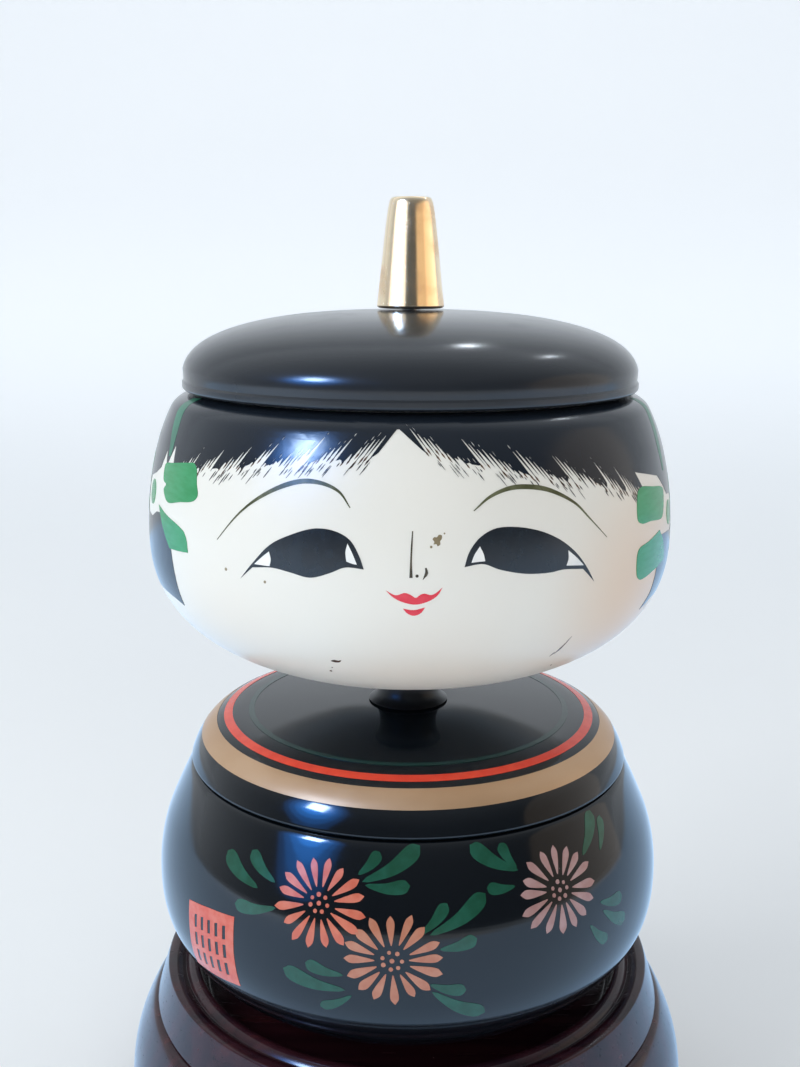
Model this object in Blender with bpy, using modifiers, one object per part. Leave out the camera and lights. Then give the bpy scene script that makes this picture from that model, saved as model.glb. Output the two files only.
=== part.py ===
"""A turned and lacquered kokeshi doll that opens as two boxes, on a turned stand.

From the top it comes apart as a hair lid with a brass knob, a hollow head that
turns on its neck, a shoulder lid, a hollow body and the stand that holds it.
Metres, +Z up. The origin is under the middle of the stand, and the face looks
towards -Y. Every piece is round about the Z axis.
"""

from math import asin, cos, degrees, radians, sin

import bmesh
import bpy

# Clearances and turning
FIT_GAP = 0.0003            # left between two pieces that touch, seat or slide
BIG_STEPS = 40              # flats round a large turning
SMALL_STEPS = 24            # flats round a screw or a washer
EDGE_EASE = 0.0004          # taken off a sharp edge, across and down

# Stand
STAND_HEIGHT = 0.0405       # floor to the rim
STAND_SEAT_DEPTH = 0.0058   # rim down to the seat that the body rests on
STAND_SEAT_BEND = 0.0030    # outer part of the seat that curves up to the wall
STAND_MOUTH_INSET = 0.0073  # the seat's mouth lies this far inside the body's widest line
STAND_RIM_WIDTH = 0.0066    # mouth to the sharp outer edge of the rim
STAND_LIP_RISE = 0.0004     # rounded lip round the mouth, above the rim
STAND_GROOVE_DEPTH = 0.0012  # groove between the lip and the rim
STAND_SKIRT_DROP = 0.0078   # height of the sloping skirt under the rim
STAND_SKIRT_FLARE = 0.0024  # how far the skirt widens on its way down
STAND_BULGE_RADIUS = 0.0285  # radius of the big rounded moulding's section
STAND_BULGE_CENTRE = 0.0160  # height of its widest line
STAND_BULGE_OUT = 0.0079    # widest line beyond the rim's edge
STAND_COVE = 0.0007         # height of the step between the skirt and the bulge
STAND_FOOT_HEIGHT = 0.0020
STAND_FOOT_SET_IN = 0.0006
STAND_FOOT_WIDTH = 0.0130   # of the flat ring that touches the floor
STAND_HOLLOW = 0.0030       # depth of the hollow under the stand
STAND_HOLLOW_SLOPE = 0.0010  # how far the hollow's wall leans in

# Body
BODY_RADIUS = 0.0503
BODY_HEIGHT = 0.0487        # foot to the seam
BODY_EQUATOR_SHARE = 0.554  # height of the widest line, as a share of the body's
BODY_SIDE_RADIUS = 0.0320   # radius of the upper side's curve
BODY_SIDE_CURVE_SHARE = 0.645  # how much of the height above the widest line it takes
BODY_BASE_POWER = 2.5       # 2 is an ellipse, and more is fuller low down
BODY_BASE_END = 77          # degrees of that oval between the widest line and the foot
BODY_FOOT_RADIUS = 0.0240
BODY_FOOT_HEIGHT = 0.0012
BODY_WALL = 0.0047
BODY_FLOOR = 0.0060
BODY_MOUTH_DEPTH = 0.0080
BODY_HOLLOW_SHARE = 0.553   # the hollow's widest line, as a share of its height

# Shoulder lid
SHOULDER_INSET = 0.0068     # its edge lies this far inside the body's widest line
SHOULDER_RIM_WIDTH = 0.0040  # its edge to the body's mouth
SHOULDER_HEIGHT = 0.0101
SHOULDER_THICKNESS = 0.0054
SHOULDER_TOP_DROP = 0.0013  # fall of the nearly flat top towards the bands
SHOULDER_CROWN_SHARE = 0.30  # radius of the flat middle, as a share of the edge's
SHOULDER_CROWN_DROP = 0.0001
SHOULDER_ROUND = 0.0095     # width of the rounded edge
SHOULDER_ROUND_TURN = 0.26  # where that round turns down, as a share of its width
SHOULDER_EDGE_HEIGHT = 0.0006
SHOULDER_BOSS_RADIUS = 0.0100
SHOULDER_BOSS_DEPTH = 0.0036
SHOULDER_HOLLOW_BEND = 0.0100  # width of the curve round the hollow's roof

# Neck
NECK_RADIUS = 0.0058
NECK_HEIGHT = 0.0093        # visible part, shoulder to head
NECK_TOP_RADIUS = 0.0071
NECK_BASE_RADIUS = 0.0080
NECK_TENON_RADIUS = 0.0050

# Head
HEAD_RADIUS = 0.0500
HEAD_HEIGHT = 0.0527        # underside to the rim under the lid
HEAD_EQUATOR_SHARE = 0.503  # height of the widest line, as a share of the head's
HEAD_SIDE_WIDTH = 0.0127    # half width of the upper side's ellipse
HEAD_SIDE_SHARE = 1.145     # its half height, as a share of the height above the widest line
HEAD_SIDE_END = 50          # degrees of that ellipse that the side follows
HEAD_BASE_POWER = 2.3
HEAD_RIM_INSET = 0.0099     # the rim's edge lies this far inside the widest line
HEAD_RIM_WIDTH = 0.0041
HEAD_RIM_SLOPE = 0.0006     # fall of the rim before it turns down into the side
HEAD_RIM_TURN = 0.82        # where it turns down, as a share of the way to the side
HEAD_UNDERSIDE_FLAT = 0.0100
HEAD_WALL = 0.0047
HEAD_FLOOR = 0.0055
HEAD_MOUTH_DEPTH = 0.0087

# Hair lid
LID_HEIGHT = 0.0146         # seat to the top
LID_OVERHANG = 0.0030       # beyond the rim of the head
LID_SHADOW_GAP = 0.0002     # open height under the overhang
LID_LIP_HEIGHT = 0.0018     # rolled lip along the lower edge
LID_GROOVE = 0.0003         # depth of the fine line above the lip
LID_SEAT_SET_IN = 0.0007    # the lid's seat stops this far inside the rim's edge
LID_DOME_POWER = 2.5        # 2 is an ellipse, and more is flatter with rounder shoulders
LID_THICKNESS = 0.0054
SPIGOT_DEPTH = 0.0055       # ring under a lid that enters the mouth below it
SPIGOT_WALL = 0.0034

# Brass knob
KNOB_HEIGHT = 0.0203
KNOB_BASE_RADIUS = 0.0064
KNOB_TOP_RADIUS = 0.0039
KNOB_CHAMFER = 0.0004
KNOB_HOLE_DEPTH = 0.0100

# Screws and washers
SCREW_HEAD_HEIGHT = 0.0022
SCREW_SLOT_WIDTH = 0.0008
SCREW_SLOT_DEPTH = 0.0010
SCREW_POINT = 0.0010        # tapered end
SCREW_ROOM = 0.0005         # left in front of a screw's end
DRILL_POINT = 0.0010        # cone at the end of a drilled hole
KNOB_SCREW_RADIUS = 0.0015
KNOB_SCREW_HEAD_RADIUS = 0.0030
KNOB_WASHER_RADIUS = 0.0050
NECK_SCREW_RADIUS = 0.0017
NECK_SCREW_HEAD_RADIUS = 0.0036
NECK_SCREW_GRIP = 0.0120    # length of the screw inside the neck
NECK_WASHER_RADIUS = 0.0090
WASHER_THICKNESS = 0.0010

# Sizes that follow from the ones above
BODY_EQUATOR = BODY_EQUATOR_SHARE * BODY_HEIGHT
BODY_SIDE_CURVE_TOP = BODY_SIDE_CURVE_SHARE * (BODY_HEIGHT - BODY_EQUATOR)
HEAD_EQUATOR = HEAD_EQUATOR_SHARE * HEAD_HEIGHT
HEAD_SIDE_HEIGHT = HEAD_SIDE_SHARE * (HEAD_HEIGHT - HEAD_EQUATOR)
STAND_SEAT_RADIUS = BODY_RADIUS - STAND_MOUTH_INSET
STAND_RIM_RADIUS = STAND_SEAT_RADIUS + STAND_RIM_WIDTH
SEAT_HEIGHT = STAND_HEIGHT - STAND_SEAT_DEPTH
SHOULDER_RADIUS = BODY_RADIUS - SHOULDER_INSET
BODY_MOUTH_RADIUS = SHOULDER_RADIUS - SHOULDER_RIM_WIDTH
HEAD_RIM_RADIUS = HEAD_RADIUS - HEAD_RIM_INSET
HEAD_MOUTH_RADIUS = HEAD_RIM_RADIUS - HEAD_RIM_WIDTH
LID_RADIUS = HEAD_RIM_RADIUS + LID_OVERHANG
TENON_HOLE_RADIUS = NECK_TENON_RADIUS + FIT_GAP
KNOB_SCREW_HOLE = KNOB_SCREW_RADIUS + FIT_GAP
NECK_SCREW_HOLE = NECK_SCREW_RADIUS + FIT_GAP

# Heights of the joints above the floor
BODY_BASE = SEAT_HEIGHT + FIT_GAP
SHOULDER_BASE = BODY_BASE + BODY_HEIGHT + FIT_GAP
NECK_BASE = SHOULDER_BASE + SHOULDER_HEIGHT + FIT_GAP
HEAD_BASE = NECK_BASE + NECK_HEIGHT + FIT_GAP
LID_BASE = HEAD_BASE + HEAD_HEIGHT + FIT_GAP
KNOB_BASE = LID_BASE + LID_HEIGHT + FIT_GAP


# ---- Outlines: lists of (radius, height) ----

def oval(centre, half_width, half_height, start, end, points, power=2.0):
    """Points on an oval from one angle to another; 0 is outermost and 90 the top."""
    outline = []
    for i in range(points):
        angle = radians(start + (end - start) * i / (points - 1))
        across = max(cos(angle), 0.0) ** (2 / power)
        rise = abs(sin(angle)) ** (2 / power)
        if sin(angle) < 0:
            rise = -rise
        outline.append((centre[0] + half_width * across, centre[1] + half_height * rise))
    return outline


def bend(start, corner, end, points=4):
    """Points on a curve that leaves start towards the corner and arrives at end from it."""
    outline = []
    for i in range(points):
        t = i / (points - 1)
        weights = ((1 - t) ** 2, 2 * t * (1 - t), t ** 2)
        outline.append(tuple(
            weights[0] * start[k] + weights[1] * corner[k] + weights[2] * end[k] for k in (0, 1)
        ))
    return outline


def stand_outline():
    seat_r = STAND_SEAT_RADIUS
    rim_r = STAND_RIM_RADIUS
    rim_w = STAND_RIM_WIDTH
    rim_z = STAND_HEIGHT
    groove_z = rim_z - STAND_GROOVE_DEPTH
    skirt_r = rim_r + STAND_SKIRT_FLARE
    skirt_z = rim_z - STAND_SKIRT_DROP
    bulge_r = rim_r + STAND_BULGE_OUT - STAND_BULGE_RADIUS
    bulge_top = degrees(asin((skirt_z - STAND_COVE - STAND_BULGE_CENTRE) / STAND_BULGE_RADIUS))
    bulge_end = degrees(asin((STAND_FOOT_HEIGHT - STAND_BULGE_CENTRE) / STAND_BULGE_RADIUS))
    bulge = oval((bulge_r, STAND_BULGE_CENTRE), STAND_BULGE_RADIUS, STAND_BULGE_RADIUS,
                 bulge_top, bulge_end, 8)
    foot_r = bulge[-1][0] - STAND_FOOT_SET_IN
    inner_r = foot_r - STAND_FOOT_WIDTH
    # The lip takes the inner half of the rim's width, then the groove, then the flat rim.
    lip = bend((seat_r + 0.09 * rim_w, rim_z), (seat_r + 0.21 * rim_w, rim_z + STAND_LIP_RISE),
               (seat_r + 0.36 * rim_w, rim_z - STAND_LIP_RISE / 2), 3)
    groove = [(seat_r + 0.48 * rim_w, groove_z), (seat_r + 0.61 * rim_w, rim_z - EDGE_EASE)]
    skirt_top = (rim_r + STAND_SKIRT_FLARE / 12, rim_z - STAND_SKIRT_DROP / 8)
    skirt_turn = (rim_r + STAND_SKIRT_FLARE / 2, rim_z - STAND_SKIRT_DROP / 2)
    return (
        [(0, SEAT_HEIGHT)]
        + bend((seat_r - STAND_SEAT_BEND, SEAT_HEIGHT), (seat_r, SEAT_HEIGHT), (seat_r, groove_z), 4)
        + lip
        + groove
        + [(rim_r - 0.18 * rim_w, rim_z), (rim_r, rim_z - EDGE_EASE)]
        + bend(skirt_top, skirt_turn, (skirt_r, skirt_z), 4)
        + [(skirt_r - EDGE_EASE, skirt_z - EDGE_EASE)]
        + bulge
        + [(foot_r, STAND_FOOT_HEIGHT), (foot_r, EDGE_EASE), (foot_r - EDGE_EASE, 0)]
        + [(inner_r, 0), (inner_r - STAND_HOLLOW_SLOPE, STAND_HOLLOW), (0, STAND_HOLLOW)]
    )


def body_outline():
    cavity_r = BODY_RADIUS - BODY_WALL
    cavity_top = BODY_HEIGHT - BODY_MOUTH_DEPTH
    cavity_mid = BODY_FLOOR + BODY_HOLLOW_SHARE * (cavity_top - BODY_FLOOR)
    inside = (
        oval((0, cavity_mid), cavity_r, cavity_mid - BODY_FLOOR, -90, 0, 8, BODY_BASE_POWER)
        + oval((BODY_MOUTH_RADIUS, cavity_mid), cavity_r - BODY_MOUTH_RADIUS,
               cavity_top - cavity_mid, 25, 90, 3)
        + [(BODY_MOUTH_RADIUS, BODY_HEIGHT)]
    )
    centre_r = BODY_RADIUS - BODY_SIDE_RADIUS
    side_top = degrees(asin(BODY_SIDE_CURVE_TOP / BODY_SIDE_RADIUS))
    side = oval((centre_r, BODY_EQUATOR), BODY_SIDE_RADIUS, BODY_SIDE_RADIUS, side_top, 0, 4)
    outside = (
        [(SHOULDER_RADIUS - EDGE_EASE, BODY_HEIGHT), (SHOULDER_RADIUS, BODY_HEIGHT - EDGE_EASE)]
        + side[:-1]
        + oval((0, BODY_EQUATOR), BODY_RADIUS, BODY_EQUATOR, 0, -BODY_BASE_END, 12, BODY_BASE_POWER)
        + [(BODY_FOOT_RADIUS, BODY_FOOT_HEIGHT), (BODY_FOOT_RADIUS - EDGE_EASE, 0), (0, 0)]
    )
    return inside + outside


def shoulder_outline():
    edge_r = SHOULDER_RADIUS
    spigot_r = BODY_MOUTH_RADIUS - FIT_GAP
    hollow_r = spigot_r - SPIGOT_WALL
    hollow_top = SHOULDER_HEIGHT - SHOULDER_THICKNESS
    hollow_bend = SHOULDER_HOLLOW_BEND
    boss_z = hollow_top - SHOULDER_BOSS_DEPTH
    band_z = SHOULDER_HEIGHT - SHOULDER_TOP_DROP
    crown = (SHOULDER_CROWN_SHARE * edge_r, SHOULDER_HEIGHT - SHOULDER_CROWN_DROP)
    round_start = (edge_r - SHOULDER_ROUND, band_z)
    round_turn = (edge_r - SHOULDER_ROUND_TURN * SHOULDER_ROUND, band_z - SHOULDER_TOP_DROP / 2)
    return (
        [(TENON_HOLE_RADIUS, SHOULDER_HEIGHT), crown]
        + bend(round_start, round_turn, (edge_r, SHOULDER_EDGE_HEIGHT), 7)
        + [(edge_r - EDGE_EASE, 0), (spigot_r, 0)]
        + [(spigot_r, -SPIGOT_DEPTH), (hollow_r, -SPIGOT_DEPTH), (hollow_r, 0)]
        + bend((hollow_r - 0.1 * hollow_bend, 0.4 * hollow_top), (hollow_r - 0.3 * hollow_bend, hollow_top),
               (hollow_r - hollow_bend, hollow_top), 3)
        + [(SHOULDER_BOSS_RADIUS, hollow_top), (SHOULDER_BOSS_RADIUS, boss_z)]
        + [(TENON_HOLE_RADIUS, boss_z)]
    )


def neck_outline():
    """Its heights start at the shoulder: the lower tenon lies below 0."""
    tenon_r = NECK_TENON_RADIUS
    lower_end = -FIT_GAP - SHOULDER_THICKNESS - SHOULDER_BOSS_DEPTH
    upper_end = NECK_HEIGHT + FIT_GAP + HEAD_FLOOR + FIT_GAP
    hole_end = upper_end - NECK_SCREW_GRIP - DRILL_POINT
    return (
        [(0, hole_end), (NECK_SCREW_HOLE, hole_end), (NECK_SCREW_HOLE, upper_end)]
        + [(tenon_r - EDGE_EASE, upper_end), (tenon_r, upper_end - EDGE_EASE), (tenon_r, NECK_HEIGHT)]
        + bend((NECK_TOP_RADIUS, NECK_HEIGHT), (NECK_RADIUS, 0.8 * NECK_HEIGHT),
               (NECK_RADIUS, 0.5 * NECK_HEIGHT), 5)
        + bend((NECK_RADIUS, 0.4 * NECK_HEIGHT), (NECK_RADIUS, 0.1 * NECK_HEIGHT),
               (NECK_BASE_RADIUS, 0), 4)
        + [(tenon_r, 0), (tenon_r, lower_end + EDGE_EASE), (tenon_r - EDGE_EASE, lower_end), (0, lower_end)]
    )


def head_outline():
    cavity_r = HEAD_RADIUS - HEAD_WALL
    cavity_top = HEAD_HEIGHT - HEAD_MOUTH_DEPTH
    flat = HEAD_UNDERSIDE_FLAT
    inside = (
        [(TENON_HOLE_RADIUS, HEAD_FLOOR)]
        + oval((flat, HEAD_EQUATOR), cavity_r - flat, HEAD_EQUATOR - HEAD_FLOOR, -90, 0, 8, HEAD_BASE_POWER)
        + oval((HEAD_MOUTH_RADIUS, HEAD_EQUATOR), cavity_r - HEAD_MOUTH_RADIUS,
               cavity_top - HEAD_EQUATOR, 22, 90, 4)
        + [(HEAD_MOUTH_RADIUS, HEAD_HEIGHT)]
    )
    side = oval((HEAD_RADIUS - HEAD_SIDE_WIDTH, HEAD_EQUATOR), HEAD_SIDE_WIDTH,
                HEAD_SIDE_HEIGHT, HEAD_SIDE_END, 8, 6)
    rim_turn = (HEAD_RIM_RADIUS + HEAD_RIM_TURN * (side[0][0] - HEAD_RIM_RADIUS), HEAD_HEIGHT - HEAD_RIM_SLOPE)
    outside = (
        bend((HEAD_RIM_RADIUS, HEAD_HEIGHT), rim_turn, side[0], 5)
        + side[1:]
        + oval((flat, HEAD_EQUATOR), HEAD_RADIUS - flat, HEAD_EQUATOR, 0, -90, 13, HEAD_BASE_POWER)
        + [(TENON_HOLE_RADIUS, 0)]
    )
    return inside + outside


def lid_outline():
    """Its heights start at the seat on the head's rim: the spigot lies below 0."""
    lip_z = LID_SHADOW_GAP
    dome_z = lip_z + LID_LIP_HEIGHT
    spigot_r = HEAD_MOUTH_RADIUS - FIT_GAP
    hollow_r = spigot_r - SPIGOT_WALL
    hollow_top = LID_HEIGHT - LID_THICKNESS
    seat_r = HEAD_RIM_RADIUS - LID_SEAT_SET_IN
    dome = oval((0, dome_z), LID_RADIUS, LID_HEIGHT - dome_z, 84, 6, 11, LID_DOME_POWER)
    hollow = oval((0, 0), hollow_r, hollow_top, 12, 84, 6, LID_DOME_POWER)
    return (
        [(KNOB_SCREW_HOLE, LID_HEIGHT)]
        + dome
        + [(LID_RADIUS - LID_GROOVE, dome_z), (LID_RADIUS, dome_z - EDGE_EASE), (LID_RADIUS, lip_z + EDGE_EASE)]
        + [(LID_RADIUS - EDGE_EASE, lip_z), (seat_r, lip_z), (seat_r, 0), (spigot_r, 0)]
        + [(spigot_r, -SPIGOT_DEPTH), (hollow_r, -SPIGOT_DEPTH)]
        + hollow
        + [(KNOB_SCREW_HOLE, hollow_top)]
    )


def knob_outline():
    top = KNOB_HEIGHT
    return [
        (0, top),
        (KNOB_TOP_RADIUS - KNOB_CHAMFER, top),
        (KNOB_TOP_RADIUS, top - KNOB_CHAMFER),
        (KNOB_BASE_RADIUS, KNOB_CHAMFER),
        (KNOB_BASE_RADIUS - KNOB_CHAMFER, 0),
        (KNOB_SCREW_HOLE, 0),
        (KNOB_SCREW_HOLE, KNOB_HOLE_DEPTH),
        (0, KNOB_HOLE_DEPTH + DRILL_POINT),
    ]


def washer_outline(radius, hole_radius):
    return [
        (hole_radius, WASHER_THICKNESS),
        (radius, WASHER_THICKNESS),
        (radius, 0),
        (hole_radius, 0),
    ]


def screw_outline(radius, head_radius, length):
    """A screw with its shank pointing down from 0 and its pan head above."""
    top = SCREW_HEAD_HEIGHT
    return (
        [(0, top)]
        + bend((0.6 * head_radius, top), (head_radius, top), (head_radius, 0.4 * top), 4)
        + [(head_radius, 0), (radius, 0), (radius, SCREW_POINT - length), (0.4 * radius, -length)]
        + [(0, -length)]
    )


# ---- Making objects ----

def clear_scene():
    for existing in list(bpy.data.objects):
        bpy.data.objects.remove(existing, do_unlink=True)


def add_collection(name):
    collection = bpy.data.collections.new(name)
    bpy.context.scene.collection.children.link(collection)
    return collection


def material(name, colour, roughness, metallic=0.0):
    made = bpy.data.materials.new(name)
    made.use_nodes = True
    shader = made.node_tree.nodes["Principled BSDF"]
    shader.inputs["Base Color"].default_value = (*colour, 1.0)
    shader.inputs["Roughness"].default_value = roughness
    shader.inputs["Metallic"].default_value = metallic
    return made


def joint_empty(collection, name, height, parent=None):
    """An empty on the axis, at a height above the floor, that carries a moving group."""
    empty = bpy.data.objects.new(name, None)
    empty.empty_display_size = 0.02
    collection.objects.link(empty)
    empty.parent = parent
    empty["height"] = height
    empty.location.z = height - (parent["height"] if parent else 0.0)
    return empty


def turn(collection, name, outline, height, parent, finish, steps=BIG_STEPS, closed=False):
    """Turn an outline about the axis, and place it at a height above the floor."""
    mesh = bpy.data.meshes.new(name)
    profile = bmesh.new()
    points = [profile.verts.new((radius, 0.0, z)) for radius, z in outline]
    for first, second in zip(points, points[1:]):
        profile.edges.new((first, second))
    if closed:
        profile.edges.new((points[-1], points[0]))
    profile.to_mesh(mesh)
    profile.free()
    piece = bpy.data.objects.new(name, mesh)
    collection.objects.link(piece)
    piece.parent = parent
    piece.location.z = height - parent["height"]
    screw = piece.modifiers.new("turning", "SCREW")
    screw.axis = "Z"
    screw.steps = steps
    screw.render_steps = steps
    screw.use_merge_vertices = True
    screw.merge_threshold = 0.00001
    mesh.materials.append(finish)
    return piece


def cut_slot(cutters, screw, head_radius, top):
    """Cut a straight driver slot across a screw's head, whose top is at this local height."""
    cutter_mesh = bpy.data.meshes.new(screw.name + "_slot")
    box = bmesh.new()
    bmesh.ops.create_cube(box, size=1.0)
    bmesh.ops.scale(box, verts=box.verts, vec=(3 * head_radius, SCREW_SLOT_WIDTH, 2 * SCREW_SLOT_DEPTH))
    bmesh.ops.translate(box, verts=box.verts, vec=(0, 0, top))
    box.to_mesh(cutter_mesh)
    box.free()
    cutter = bpy.data.objects.new(cutter_mesh.name, cutter_mesh)
    cutters.objects.link(cutter)
    cutter.parent = screw
    cutter.display_type = "WIRE"
    cutter.hide_render = True
    slot = screw.modifiers.new("slot", "BOOLEAN")
    slot.operation = "DIFFERENCE"
    slot.solver = "EXACT"
    slot.object = cutter


def build():
    clear_scene()
    doll = add_collection("kokeshi_doll")
    cutters = add_collection("cutters")

    rosewood = material("rosewood_lacquer", (0.045, 0.012, 0.016), 0.18)
    black = material("black_lacquer", (0.006, 0.009, 0.013), 0.12)
    ivory = material("ivory_lacquer", (0.72, 0.70, 0.64), 0.25)
    hair = material("hair_lacquer", (0.008, 0.013, 0.020), 0.15)
    brass = material("brass", (0.78, 0.60, 0.34), 0.20, 1.0)
    steel = material("steel", (0.55, 0.56, 0.58), 0.35, 1.0)
    ebony = material("neck_lacquer", (0.006, 0.007, 0.009), 0.20)

    stand_base = joint_empty(doll, "stand_base", 0.0)
    body_lift = joint_empty(doll, "body_lift_axis", BODY_BASE, stand_base)
    shoulder_lift = joint_empty(doll, "shoulder_lift_axis", SHOULDER_BASE, body_lift)
    head_turn = joint_empty(doll, "head_turn_axis", HEAD_BASE, shoulder_lift)
    lid_lift = joint_empty(doll, "lid_lift_axis", LID_BASE, head_turn)

    turn(doll, "stand", stand_outline(), 0.0, stand_base, rosewood)
    turn(doll, "body_bowl", body_outline(), BODY_BASE, body_lift, black)
    turn(doll, "shoulder_lid", shoulder_outline(), SHOULDER_BASE, shoulder_lift, black, closed=True)
    turn(doll, "neck", neck_outline(), NECK_BASE, shoulder_lift, ebony, SMALL_STEPS)
    turn(doll, "head_bowl", head_outline(), HEAD_BASE, head_turn, ivory, closed=True)
    turn(doll, "hair_lid", lid_outline(), LID_BASE, lid_lift, hair, closed=True)
    turn(doll, "finial_knob", knob_outline(), KNOB_BASE, lid_lift, brass, SMALL_STEPS)

    # The neck's screw and washer hold the head on the upper tenon, inside the head.
    neck_washer_z = HEAD_BASE + HEAD_FLOOR + 2 * FIT_GAP
    neck_screw_z = neck_washer_z + WASHER_THICKNESS + FIT_GAP
    turn(doll, "neck_washer", washer_outline(NECK_WASHER_RADIUS, NECK_SCREW_HOLE),
         neck_washer_z, shoulder_lift, steel, SMALL_STEPS, closed=True)
    neck_screw = turn(
        doll, "neck_screw",
        screw_outline(NECK_SCREW_RADIUS, NECK_SCREW_HEAD_RADIUS, NECK_SCREW_GRIP),
        neck_screw_z, shoulder_lift, steel, SMALL_STEPS,
    )
    cut_slot(cutters, neck_screw, NECK_SCREW_HEAD_RADIUS, SCREW_HEAD_HEIGHT)

    # The knob's screw comes up through the hair lid, with its head inside the lid.
    knob_washer_z = LID_BASE + LID_HEIGHT - LID_THICKNESS - FIT_GAP - WASHER_THICKNESS
    knob_screw_z = knob_washer_z - FIT_GAP
    knob_screw_length = KNOB_BASE + KNOB_HOLE_DEPTH - SCREW_ROOM - knob_screw_z
    turn(doll, "finial_washer", washer_outline(KNOB_WASHER_RADIUS, KNOB_SCREW_HOLE),
         knob_washer_z, lid_lift, steel, SMALL_STEPS, closed=True)
    knob_screw = turn(
        doll, "finial_screw",
        screw_outline(KNOB_SCREW_RADIUS, KNOB_SCREW_HEAD_RADIUS, knob_screw_length),
        knob_screw_z, lid_lift, steel, SMALL_STEPS,
    )
    knob_screw.rotation_euler.x = radians(180)
    cut_slot(cutters, knob_screw, KNOB_SCREW_HEAD_RADIUS, SCREW_HEAD_HEIGHT)


build()
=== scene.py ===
# %% [markdown]
# # A lacquered kokeshi box, painted piece by piece
# The real object is a turned wooden doll that opens as two round boxes: a body under
# a shoulder lid, and a head under a hair lid with a brass knob. Turned wood comes off
# the lathe as a solid of revolution, so almost everything here is an outline spun
# round one axis. The paint is then laid on top as very thin shells, so that its edges
# stay crisp from any distance. Everything is in metres, and the face looks along -Y.

# %% load the frame
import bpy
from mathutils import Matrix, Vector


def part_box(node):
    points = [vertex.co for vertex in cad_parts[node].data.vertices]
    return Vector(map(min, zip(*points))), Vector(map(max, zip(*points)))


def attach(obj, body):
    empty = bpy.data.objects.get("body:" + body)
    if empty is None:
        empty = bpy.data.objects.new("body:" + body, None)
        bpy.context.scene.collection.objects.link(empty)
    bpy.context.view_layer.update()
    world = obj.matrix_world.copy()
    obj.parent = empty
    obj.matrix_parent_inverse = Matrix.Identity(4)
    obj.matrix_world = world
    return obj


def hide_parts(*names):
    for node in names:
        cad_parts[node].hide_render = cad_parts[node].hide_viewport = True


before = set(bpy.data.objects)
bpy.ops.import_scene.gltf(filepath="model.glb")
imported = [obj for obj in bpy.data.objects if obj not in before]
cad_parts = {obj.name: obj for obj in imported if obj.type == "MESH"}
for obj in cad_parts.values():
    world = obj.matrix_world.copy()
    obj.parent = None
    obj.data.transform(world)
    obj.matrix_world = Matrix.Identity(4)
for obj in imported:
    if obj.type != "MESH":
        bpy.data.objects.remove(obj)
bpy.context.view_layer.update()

# %% what the lesson needs
import random
from bisect import bisect_left
from itertools import pairwise
from math import ceil, cos, floor, pi, radians, sin

import bmesh
import bpy
from mathutils import Matrix, Vector
from mathutils.geometry import interpolate_bezier

MM = 0.001

# %% [markdown]
# ## The camera and the lamps first
# A glossy black lacquer has hardly any colour of its own: what we see in it is the
# room. So the light comes before the doll. A blue window with one bright pane stands
# at the front left, a warm card at the right, and a blue cloth lies under everything:
# these show in the gloss alone. The broad soft lamps light the paint alone. Two small
# lamps high behind make the sparks on the lid. The camera looks slightly down on the
# face.

# %% camera
camera = bpy.data.objects.new("camera", bpy.data.cameras.new("camera"))
bpy.context.scene.collection.objects.link(camera)
camera.data.lens = 41.6
camera.data.sensor_width = 36
camera.data.clip_start = 0.01
camera.location = (-0.0018, -0.2371, 0.180)
camera.rotation_mode = "ZYX"
camera.rotation_euler = (pi / 2 - 0.2151, 0, 0.0043)
bpy.context.scene.camera = camera
print("camera", round(camera.location.length * 1000), "mm from the middle of the floor")

# %% lamps
CHEST = 0.10             # height of the doll's chest, which every lamp faces


def lamp(name, azimuth, elevation, distance, width, height, watts, colour,
         in_gloss=True, on_paint=True, shape="RECTANGLE"):
    """A flat light that faces the doll's chest; each lamp can leave out the gloss or the paint."""
    light = bpy.data.lights.new(name, "AREA")
    light.shape = shape
    light.size = width
    light.size_y = height
    light.energy = watts
    light.color = colour
    holder = bpy.data.objects.new(name, light)
    bpy.context.scene.collection.objects.link(holder)
    across = distance * cos(radians(elevation))
    holder.location = (
        across * sin(radians(azimuth)),
        -across * cos(radians(azimuth)),
        CHEST + distance * sin(radians(elevation)),
    )
    facing = holder.location - Vector((0, 0, CHEST))
    holder.rotation_euler = facing.to_track_quat("Z", "Y").to_euler()
    holder.visible_glossy = in_gloss
    holder.visible_diffuse = on_paint
    holder.visible_camera = False
    return holder


for ring in range(5):    # five ovals, each wider and dimmer, so that the window has a soft edge
    spread = 0.20 + 0.15 * ring
    lamp(f"blue window glow {ring}", -50, 31 - ring, 1.1 + 0.01 * ring, 0.8 * spread, spread,
         5.5 * spread * (1 - 0.12 * ring), (0.03, 0.28, 1.0), True, False, "ELLIPSE")
lamp("bright pane", -50, 33, 1.08, 0.17, 0.20, 4.5, (0.72, 0.88, 1.0), True, False)
lamp("soft left", -62, 24, 1.3, 0.9, 1.1, 10.5, (0.985, 0.99, 0.98), False)
lamp("soft front", 8, 20, 1.5, 1.0, 0.8, 5.5, (1.0, 0.97, 0.92), False)
lamp("warm right", 66, 6, 1.2, 0.7, 0.8, 2.8, (1.0, 0.76, 0.53), False)
lamp("warm card", 84, 6, 0.9, 0.9, 0.9, 0.8, (1.0, 0.74, 0.48), True, False, "ELLIPSE")
lamp("high lamp", 166, 52, 1.2, 0.035, 0.035, 0.35, (0.85, 0.93, 1.0))
lamp("high lamp right", 133, 50, 1.2, 0.03, 0.03, 0.3, (0.85, 0.93, 1.0))
blue_cloth = lamp("blue cloth", 0, -45, 0.1412, 2.6, 1.3, 7.4, (0.05, 0.45, 1.0), True, False)
blue_cloth.rotation_euler = (pi, 0, 0)

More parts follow.
